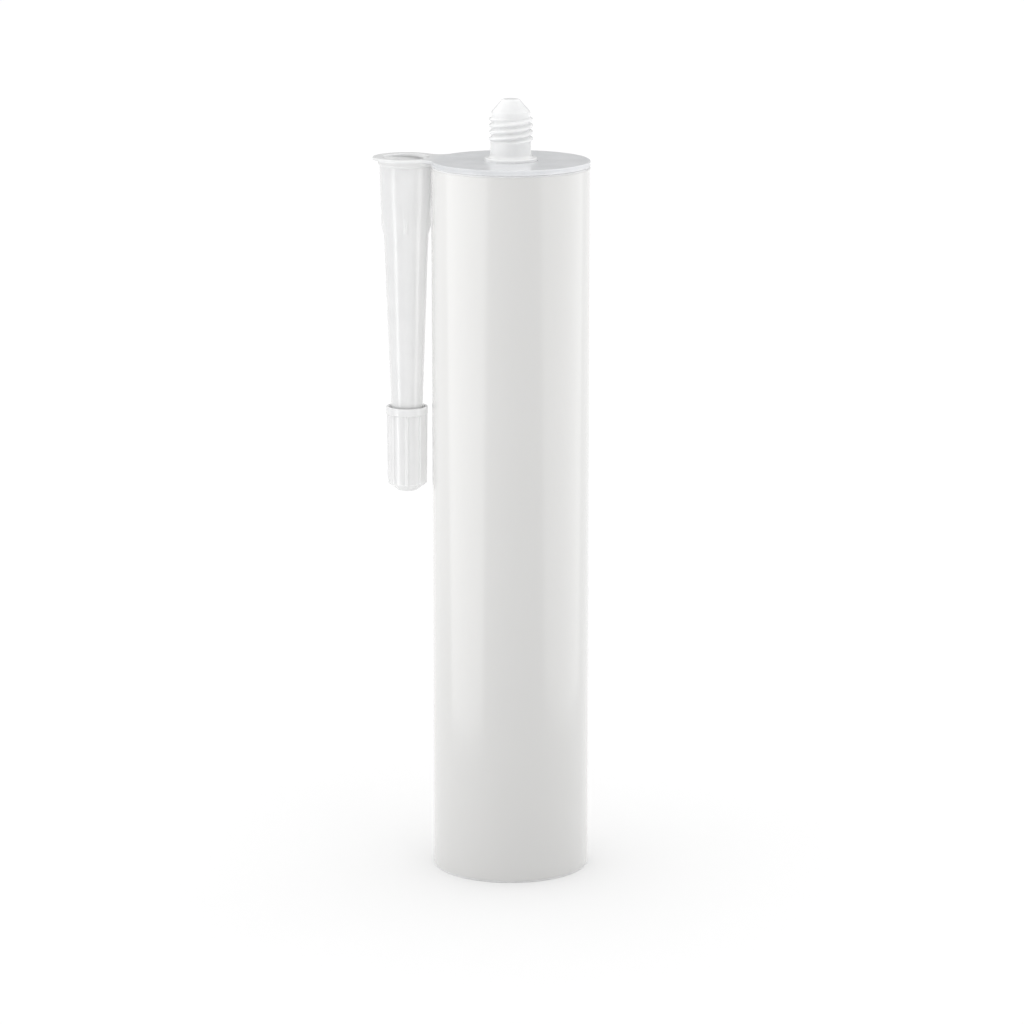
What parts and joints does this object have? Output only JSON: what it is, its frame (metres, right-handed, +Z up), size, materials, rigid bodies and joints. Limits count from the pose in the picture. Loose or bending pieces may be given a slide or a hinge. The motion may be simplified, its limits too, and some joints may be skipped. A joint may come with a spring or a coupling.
{
  "type": "sealant cartridge",
  "caption": "Sealant cartridge with piston, sealant and threaded nipple, its spare capped nozzle hanging beside the barrel from a disc on the head.",
  "frame": {"origin": "centre of the rear opening, in the plane of the rim that the cartridge stands on", "axes": "+Z up along the barrel to the nipple; the spare nozzle hangs on the -X side"},
  "size_m": [0.0678, 0.0486, 0.2402],
  "materials": {
    "natural_polyethylene": "milky translucent, smooth",
    "label_film": "opaque white, satin gloss",
    "piston_polyethylene": "opaque white, fine matt",
    "sealant_paste": "white paste, wet gloss",
    "nozzle_polyethylene": "clear milky translucent, smooth",
    "cap_polyethylene": "clear milky translucent, smooth"
  },
  "bodies": {
    "cartridge": {"cartridge_body": "natural_polyethylene", "label_sleeve": "label_film", "sealant": "sealant_paste", "nozzle_with_holder": "nozzle_polyethylene"},
    "piston": {"piston": "piston_polyethylene"},
    "cap": {"nozzle_cap": "cap_polyethylene"}
  },
  "joints": [
    {"name": "piston_slide", "type": "slide", "parent": "cartridge", "child": "piston", "axis": [0, 0, 1], "range_m": [0, 0.189], "deforming": ["sealant"]},
    {"name": "cap_pull", "type": "slide", "parent": "cartridge", "child": "cap", "axis": [0, 0, -1], "range_m": [0, 0.03]}
  ]
}
